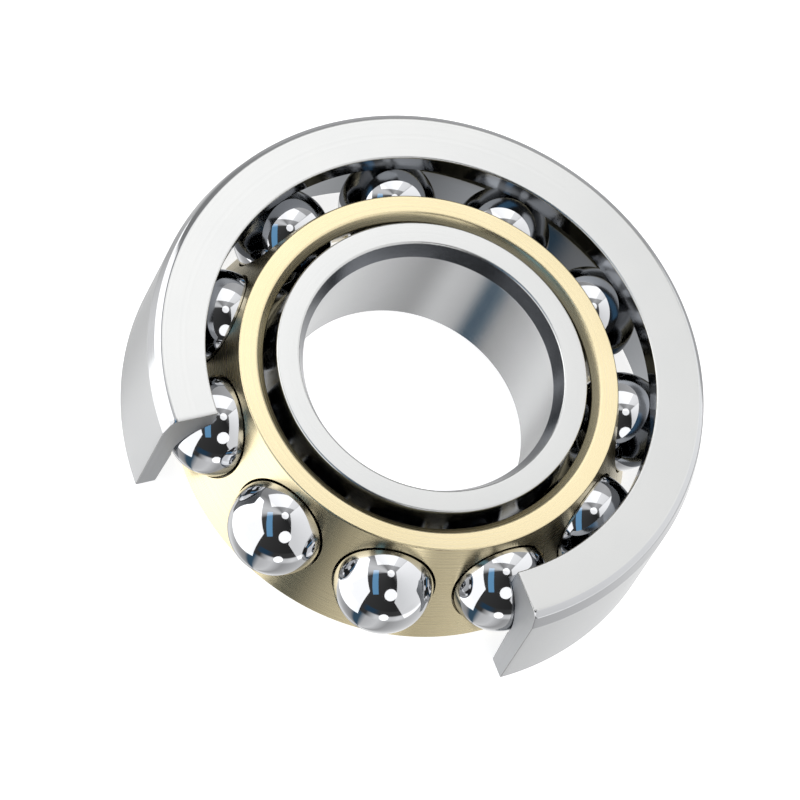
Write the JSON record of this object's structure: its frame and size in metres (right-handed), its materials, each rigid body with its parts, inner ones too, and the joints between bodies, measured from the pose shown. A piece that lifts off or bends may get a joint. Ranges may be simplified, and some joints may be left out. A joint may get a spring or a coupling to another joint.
{
  "type": "angular contact ball bearing",
  "caption": "Single-row angular contact ball bearing with a one-piece machined brass cage, shown as a cutaway with a window in the outer ring.",
  "frame": {"origin": "centre of the bore, in the middle of the bearing's width", "axes": "+Z along the bearing axis, out of the face with the wide outer-ring shoulder; -Y through the middle of the window in the outer ring"},
  "size_m": [0.1, 0.0945, 0.025],
  "materials": {
    "ring_steel": "ground",
    "cage_brass": "turned",
    "ball_steel": "lapped"
  },
  "bodies": {
    "outer_ring": {"outer_ring": "ring_steel"},
    "inner_ring": {"inner_ring": "ring_steel"},
    "cage": {"cage": "cage_brass"},
    "ball_01": {"ball_01": "ball_steel"},
    "ball_02": {"ball_02": "ball_steel"},
    "ball_03": {"ball_03": "ball_steel"},
    "ball_04": {"ball_04": "ball_steel"},
    "ball_05": {"ball_05": "ball_steel"},
    "ball_06": {"ball_06": "ball_steel"},
    "ball_07": {"ball_07": "ball_steel"},
    "ball_08": {"ball_08": "ball_steel"},
    "ball_09": {"ball_09": "ball_steel"},
    "ball_10": {"ball_10": "ball_steel"},
    "ball_11": {"ball_11": "ball_steel"}
  },
  "joints": [
    {"name": "inner_spin", "type": "hinge", "parent": "outer_ring", "child": "inner_ring", "pos_m": [0, 0, 0], "axis": [0, 0, 1], "continuous": true},
    {"name": "cage_spin", "type": "hinge", "parent": "outer_ring", "child": "cage", "pos_m": [0, 0, 0], "axis": [0, 0, 1], "continuous": true},
    {"name": "ball_01_spin", "type": "hinge", "parent": "cage", "child": "ball_01", "pos_m": [0.00989, -0.03576, 0], "axis": [-0.1714, 0.6195, 0.766], "continuous": true},
    {"name": "ball_02_spin", "type": "hinge", "parent": "cage", "child": "ball_02", "pos_m": [0.02765, -0.02473, 0], "axis": [-0.4791, 0.4285, 0.766], "continuous": true},
    {"name": "ball_03_spin", "type": "hinge", "parent": "cage", "child": "ball_03", "pos_m": [0.03663, -0.00586, 0], "axis": [-0.6347, 0.1015, 0.766], "continuous": true},
    {"name": "ball_04_spin", "type": "hinge", "parent": "cage", "child": "ball_04", "pos_m": [0.03399, 0.01488, 0], "axis": [-0.5888, -0.2578, 0.766], "continuous": true},
    {"name": "ball_05_spin", "type": "hinge", "parent": "cage", "child": "ball_05", "pos_m": [0.02055, 0.03089, 0], "axis": [-0.356, -0.5352, 0.766], "continuous": true},
    {"name": "ball_06_spin", "type": "hinge", "parent": "cage", "child": "ball_06", "pos_m": [0.00058, 0.0371, 0], "axis": [-0.0101, -0.6427, 0.766], "continuous": true},
    {"name": "ball_07_spin", "type": "hinge", "parent": "cage", "child": "ball_07", "pos_m": [-0.01957, 0.03152, 0], "axis": [0.339, -0.5461, 0.766], "continuous": true},
    {"name": "ball_08_spin", "type": "hinge", "parent": "cage", "child": "ball_08", "pos_m": [-0.0335, 0.01594, 0], "axis": [0.5804, -0.2762, 0.766], "continuous": true},
    {"name": "ball_09_spin", "type": "hinge", "parent": "cage", "child": "ball_09", "pos_m": [-0.0368, -0.0047, 0], "axis": [0.6376, 0.0815, 0.766], "continuous": true},
    {"name": "ball_10_spin", "type": "hinge", "parent": "cage", "child": "ball_10", "pos_m": [-0.02842, -0.02385, 0], "axis": [0.4923, 0.4133, 0.766], "continuous": true},
    {"name": "ball_11_spin", "type": "hinge", "parent": "cage", "child": "ball_11", "pos_m": [-0.01101, -0.03543, 0], "axis": [0.1908, 0.6138, 0.766], "continuous": true}
  ],
  "couplings": [
    {"joint": "cage_spin", "follows": "inner_spin", "ratio": 0.40986},
    {"joint": "ball_01_spin", "follows": "inner_spin", "ratio": -2.0555},
    {"joint": "ball_02_spin", "follows": "inner_spin", "ratio": -2.0555},
    {"joint": "ball_03_spin", "follows": "inner_spin", "ratio": -2.0555},
    {"joint": "ball_04_spin", "follows": "inner_spin", "ratio": -2.0555},
    {"joint": "ball_05_spin", "follows": "inner_spin", "ratio": -2.0555},
    {"joint": "ball_06_spin", "follows": "inner_spin", "ratio": -2.0555},
    {"joint": "ball_07_spin", "follows": "inner_spin", "ratio": -2.0555},
    {"joint": "ball_08_spin", "follows": "inner_spin", "ratio": -2.0555},
    {"joint": "ball_09_spin", "follows": "inner_spin", "ratio": -2.0555},
    {"joint": "ball_10_spin", "follows": "inner_spin", "ratio": -2.0555},
    {"joint": "ball_11_spin", "follows": "inner_spin", "ratio": -2.0555}
  ]
}
